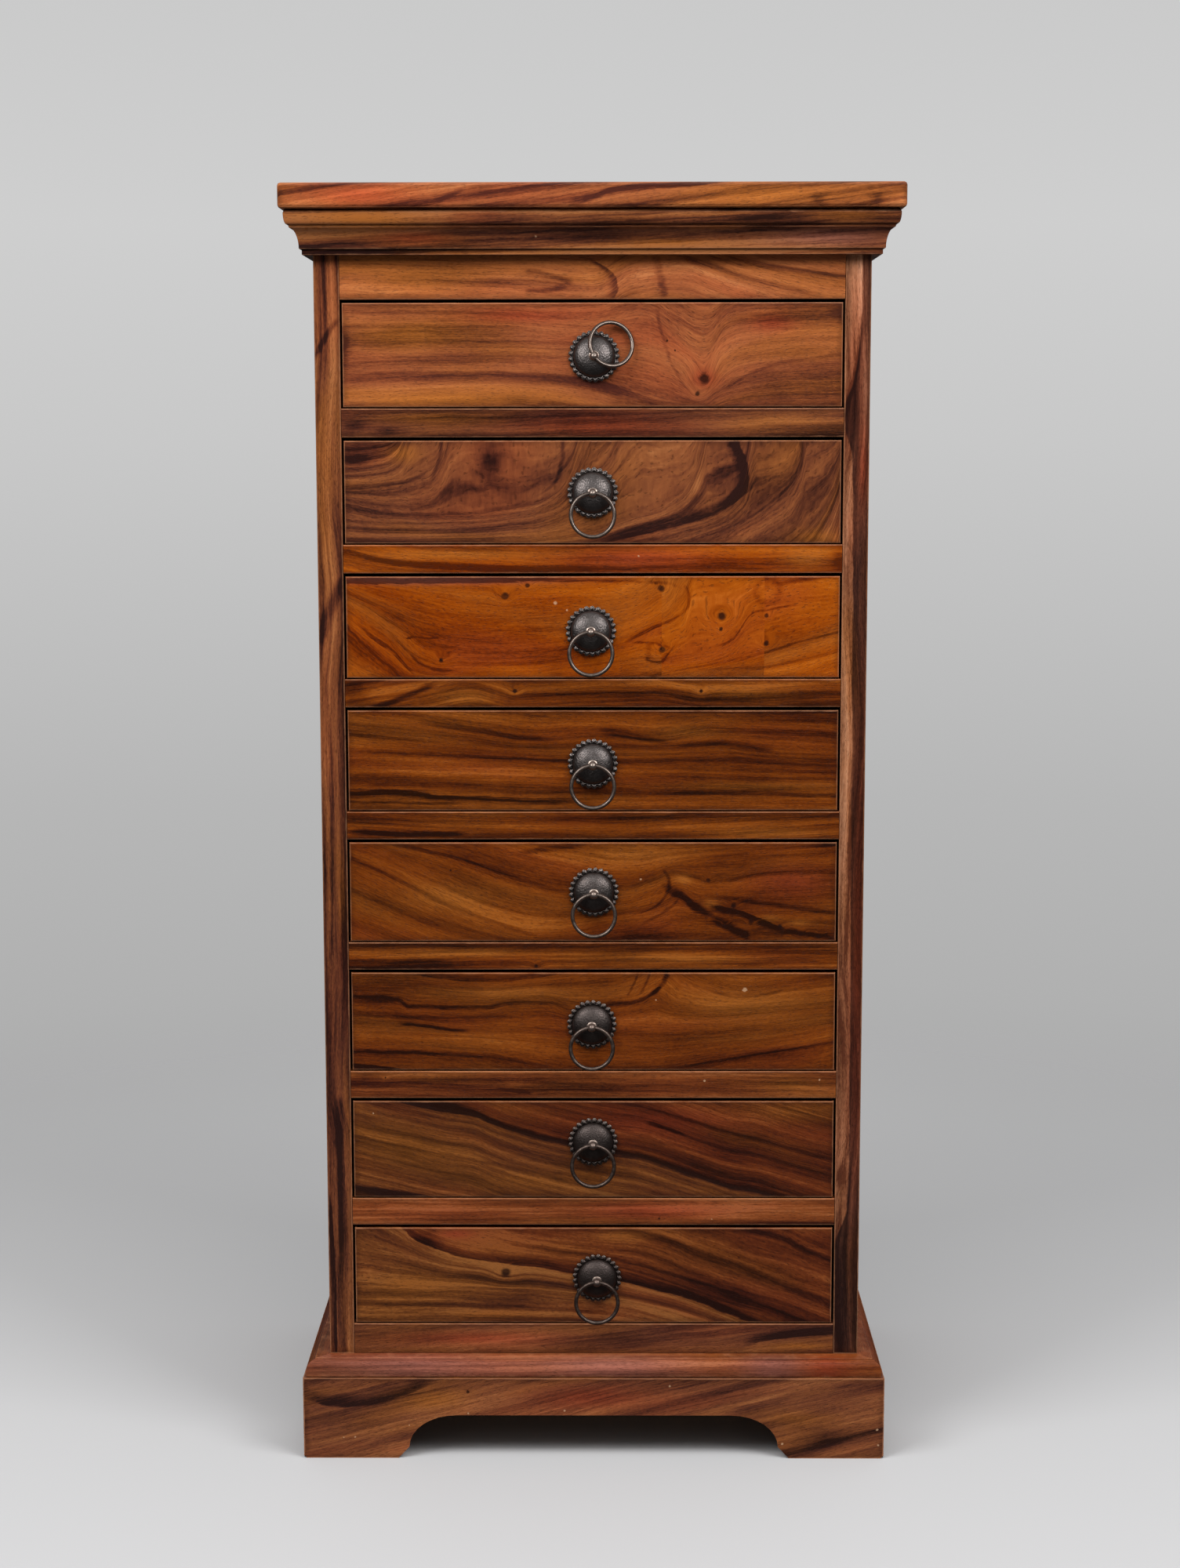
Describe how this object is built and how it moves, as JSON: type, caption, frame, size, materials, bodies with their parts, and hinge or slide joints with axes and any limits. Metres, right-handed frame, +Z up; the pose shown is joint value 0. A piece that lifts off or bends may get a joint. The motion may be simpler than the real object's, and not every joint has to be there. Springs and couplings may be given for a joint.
{
  "type": "chest of drawers",
  "caption": "Tall narrow wooden chest with a stack of shallow drawers, a moulded cornice, a plinth on bracket feet, and iron ring pulls on domed rosettes.",
  "frame": {"origin": "on the floor, under the middle of the top board", "axes": "+Z up, the drawer fronts face -Y, +X to the right of someone who faces the drawers"},
  "size_m": [0.6, 0.4, 1.2724],
  "materials": {
    "rosewood_top": "satin lacquer",
    "rosewood_carcass": "satin lacquer",
    "rosewood_rail": "satin lacquer",
    "rosewood_plinth": "satin lacquer, small chips",
    "rosewood_back": "matt",
    "rosewood_front_1": "satin lacquer",
    "rosewood_front_2": "satin lacquer",
    "rosewood_front_3": "satin lacquer",
    "rosewood_front_4": "satin lacquer",
    "rosewood_front_5": "satin lacquer",
    "rosewood_front_6": "satin lacquer",
    "rosewood_front_7": "satin lacquer",
    "rosewood_front_8": "satin lacquer",
    "drawer_lining": "bare, sanded",
    "dark_iron": "dark, rubbed"
  },
  "bodies": {
    "carcass": {"top_board": "rosewood_top", "cornice": "rosewood_carcass", "side_left": "rosewood_carcass", "side_right": "rosewood_carcass", "back_panel": "rosewood_back", "frieze_rail": "rosewood_carcass", "drawer_rail_1": "rosewood_rail", "drawer_rail_2": "rosewood_rail", "drawer_rail_3": "rosewood_rail", "drawer_rail_4": "rosewood_rail", "drawer_rail_5": "rosewood_rail", "drawer_rail_6": "rosewood_rail", "drawer_rail_7": "rosewood_rail", "bottom_rail": "rosewood_carcass", "runner_frame_left": "drawer_lining", "runner_frame_right": "drawer_lining", "base_frame": "rosewood_plinth", "plinth_front": "rosewood_plinth", "plinth_left": "rosewood_plinth", "plinth_right": "rosewood_plinth"},
    "drawer_1": {"drawer_front_1": "rosewood_front_1", "drawer_box_1": "drawer_lining", "rosette_1": "dark_iron"},
    "swivel_1": {"eye_post_1": "dark_iron"},
    "pull_ring_1": {"ring_1": "dark_iron"},
    "drawer_2": {"drawer_front_2": "rosewood_front_2", "drawer_box_2": "drawer_lining", "rosette_2": "dark_iron"},
    "swivel_2": {"eye_post_2": "dark_iron"},
    "pull_ring_2": {"ring_2": "dark_iron"},
    "drawer_3": {"drawer_front_3": "rosewood_front_3", "drawer_box_3": "drawer_lining", "rosette_3": "dark_iron"},
    "swivel_3": {"eye_post_3": "dark_iron"},
    "pull_ring_3": {"ring_3": "dark_iron"},
    "drawer_4": {"drawer_front_4": "rosewood_front_4", "drawer_box_4": "drawer_lining", "rosette_4": "dark_iron"},
    "swivel_4": {"eye_post_4": "dark_iron"},
    "pull_ring_4": {"ring_4": "dark_iron"},
    "drawer_5": {"drawer_front_5": "rosewood_front_5", "drawer_box_5": "drawer_lining", "rosette_5": "dark_iron"},
    "swivel_5": {"eye_post_5": "dark_iron"},
    "pull_ring_5": {"ring_5": "dark_iron"},
    "drawer_6": {"drawer_front_6": "rosewood_front_6", "drawer_box_6": "drawer_lining", "rosette_6": "dark_iron"},
    "swivel_6": {"eye_post_6": "dark_iron"},
    "pull_ring_6": {"ring_6": "dark_iron"},
    "drawer_7": {"drawer_front_7": "rosewood_front_7", "drawer_box_7": "drawer_lining", "rosette_7": "dark_iron"},
    "swivel_7": {"eye_post_7": "dark_iron"},
    "pull_ring_7": {"ring_7": "dark_iron"},
    "drawer_8": {"drawer_front_8": "rosewood_front_8", "drawer_box_8": "drawer_lining", "rosette_8": "dark_iron"},
    "swivel_8": {"eye_post_8": "dark_iron"},
    "pull_ring_8": {"ring_8": "dark_iron"}
  },
  "joints": [
    {"name": "drawer_1_slide", "type": "slide", "parent": "carcass", "child": "drawer_1", "axis": [0, -1, 0], "range_m": [0, 0.28]},
    {"name": "pull_1_swivel", "type": "hinge", "parent": "drawer_1", "child": "swivel_1", "pos_m": [0.0016, -0.17, 1.10945], "axis": [0, -1, 0], "continuous": true},
    {"name": "ring_1_swing", "type": "hinge", "parent": "swivel_1", "child": "pull_ring_1", "pos_m": [0.0016, -0.18618, 1.10945], "axis": [0.5592, 0, -0.829], "range_deg": [0, 216]},
    {"name": "drawer_2_slide", "type": "slide", "parent": "carcass", "child": "drawer_2", "axis": [0, -1, 0], "range_m": [0, 0.28]},
    {"name": "pull_2_swivel", "type": "hinge", "parent": "drawer_2", "child": "swivel_2", "pos_m": [0.0002, -0.17, 0.97785], "axis": [0, -1, 0], "continuous": true},
    {"name": "ring_2_swing", "type": "hinge", "parent": "swivel_2", "child": "pull_ring_2", "pos_m": [0.0002, -0.18618, 0.97785], "axis": [-1, 0, 0], "range_deg": [-18, 198]},
    {"name": "drawer_3_slide", "type": "slide", "parent": "carcass", "child": "drawer_3", "axis": [0, -1, 0], "range_m": [0, 0.28]},
    {"name": "pull_3_swivel", "type": "hinge", "parent": "drawer_3", "child": "swivel_3", "pos_m": [-0.0017, -0.17, 0.84255], "axis": [0, -1, 0], "continuous": true},
    {"name": "ring_3_swing", "type": "hinge", "parent": "swivel_3", "child": "pull_ring_3", "pos_m": [-0.0017, -0.18618, 0.84255], "axis": [-1, 0, 0], "range_deg": [-18, 198]},
    {"name": "drawer_4_slide", "type": "slide", "parent": "carcass", "child": "drawer_4", "axis": [0, -1, 0], "range_m": [0, 0.28]},
    {"name": "pull_4_swivel", "type": "hinge", "parent": "drawer_4", "child": "swivel_4", "pos_m": [0, -0.17, 0.71095], "axis": [0, -1, 0], "continuous": true},
    {"name": "ring_4_swing", "type": "hinge", "parent": "swivel_4", "child": "pull_ring_4", "pos_m": [0, -0.18618, 0.71095], "axis": [-1, 0, 0], "range_deg": [-18, 198]},
    {"name": "drawer_5_slide", "type": "slide", "parent": "carcass", "child": "drawer_5", "axis": [0, -1, 0], "range_m": [0, 0.28]},
    {"name": "pull_5_swivel", "type": "hinge", "parent": "drawer_5", "child": "swivel_5", "pos_m": [0.0009, -0.17, 0.58175], "axis": [0, -1, 0], "continuous": true},
    {"name": "ring_5_swing", "type": "hinge", "parent": "swivel_5", "child": "pull_ring_5", "pos_m": [0.0009, -0.18618, 0.58175], "axis": [-1, 0, 0], "range_deg": [-18, 198]},
    {"name": "drawer_6_slide", "type": "slide", "parent": "carcass", "child": "drawer_6", "axis": [0, -1, 0], "range_m": [0, 0.28]},
    {"name": "pull_6_swivel", "type": "hinge", "parent": "drawer_6", "child": "swivel_6", "pos_m": [-0.0013, -0.17, 0.44675], "axis": [0, -1, 0], "continuous": true},
    {"name": "ring_6_swing", "type": "hinge", "parent": "swivel_6", "child": "pull_ring_6", "pos_m": [-0.0013, -0.18618, 0.44675], "axis": [-1, 0, 0], "range_deg": [-18, 198]},
    {"name": "drawer_7_slide", "type": "slide", "parent": "carcass", "child": "drawer_7", "axis": [0, -1, 0], "range_m": [0, 0.28]},
    {"name": "pull_7_swivel", "type": "hinge", "parent": "drawer_7", "child": "swivel_7", "pos_m": [-0.0002, -0.17, 0.32525], "axis": [0, -1, 0], "continuous": true},
    {"name": "ring_7_swing", "type": "hinge", "parent": "swivel_7", "child": "pull_ring_7", "pos_m": [-0.0002, -0.18618, 0.32525], "axis": [-1, 0, 0], "range_deg": [-18, 198]},
    {"name": "drawer_8_slide", "type": "slide", "parent": "carcass", "child": "drawer_8", "axis": [0, -1, 0], "range_m": [0, 0.28]},
    {"name": "pull_8_swivel", "type": "hinge", "parent": "drawer_8", "child": "swivel_8", "pos_m": [0.0036, -0.17, 0.18245], "axis": [0, -1, 0], "continuous": true},
    {"name": "ring_8_swing", "type": "hinge", "parent": "swivel_8", "child": "pull_ring_8", "pos_m": [0.0036, -0.18618, 0.18245], "axis": [-1, 0, 0], "range_deg": [-18, 198]}
  ]
}
